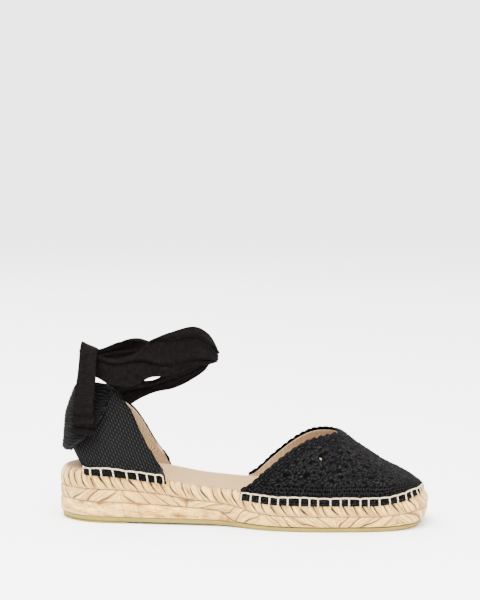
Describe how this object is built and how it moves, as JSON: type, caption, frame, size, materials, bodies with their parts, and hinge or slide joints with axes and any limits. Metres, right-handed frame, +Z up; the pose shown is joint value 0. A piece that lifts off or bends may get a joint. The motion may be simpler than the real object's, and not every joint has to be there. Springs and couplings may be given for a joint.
{
  "type": "espadrille sandal",
  "caption": "Low espadrille: braided jute sole on thin rubber, crochet vamp, woven heel counter and an ankle ribbon looped through a tab at the heel.",
  "frame": {"origin": "middle of the bounding box, on the floor under the sole", "axes": "+X from heel to toe, +Y to the inner side of a right shoe, +Z up"},
  "size_m": [0.2546, 0.0926, 0.1355],
  "materials": {
    "rubber": "matt crepe rubber",
    "jute": "stitched jute braid",
    "insole_cloth": "plain cotton canvas",
    "crochet": "matt black cotton crochet on a canvas lining",
    "woven_cloth": "black ribbed cotton weave on a canvas lining",
    "ribbon": "matt cotton ribbon"
  },
  "bodies": {
    "root": {"heel_lift": "rubber", "outsole": "rubber", "braid_wedge": "jute", "braid_lower": "jute", "braid_upper": "jute", "insole": "insole_cloth", "vamp": "crochet", "counter": "woven_cloth", "heel_tab": "woven_cloth", "ribbon_tunnel": "ribbon", "ribbon_strap": "ribbon", "ribbon_loop": "ribbon", "ribbon_lower_turn": "ribbon"}
  },
  "joints": []
}
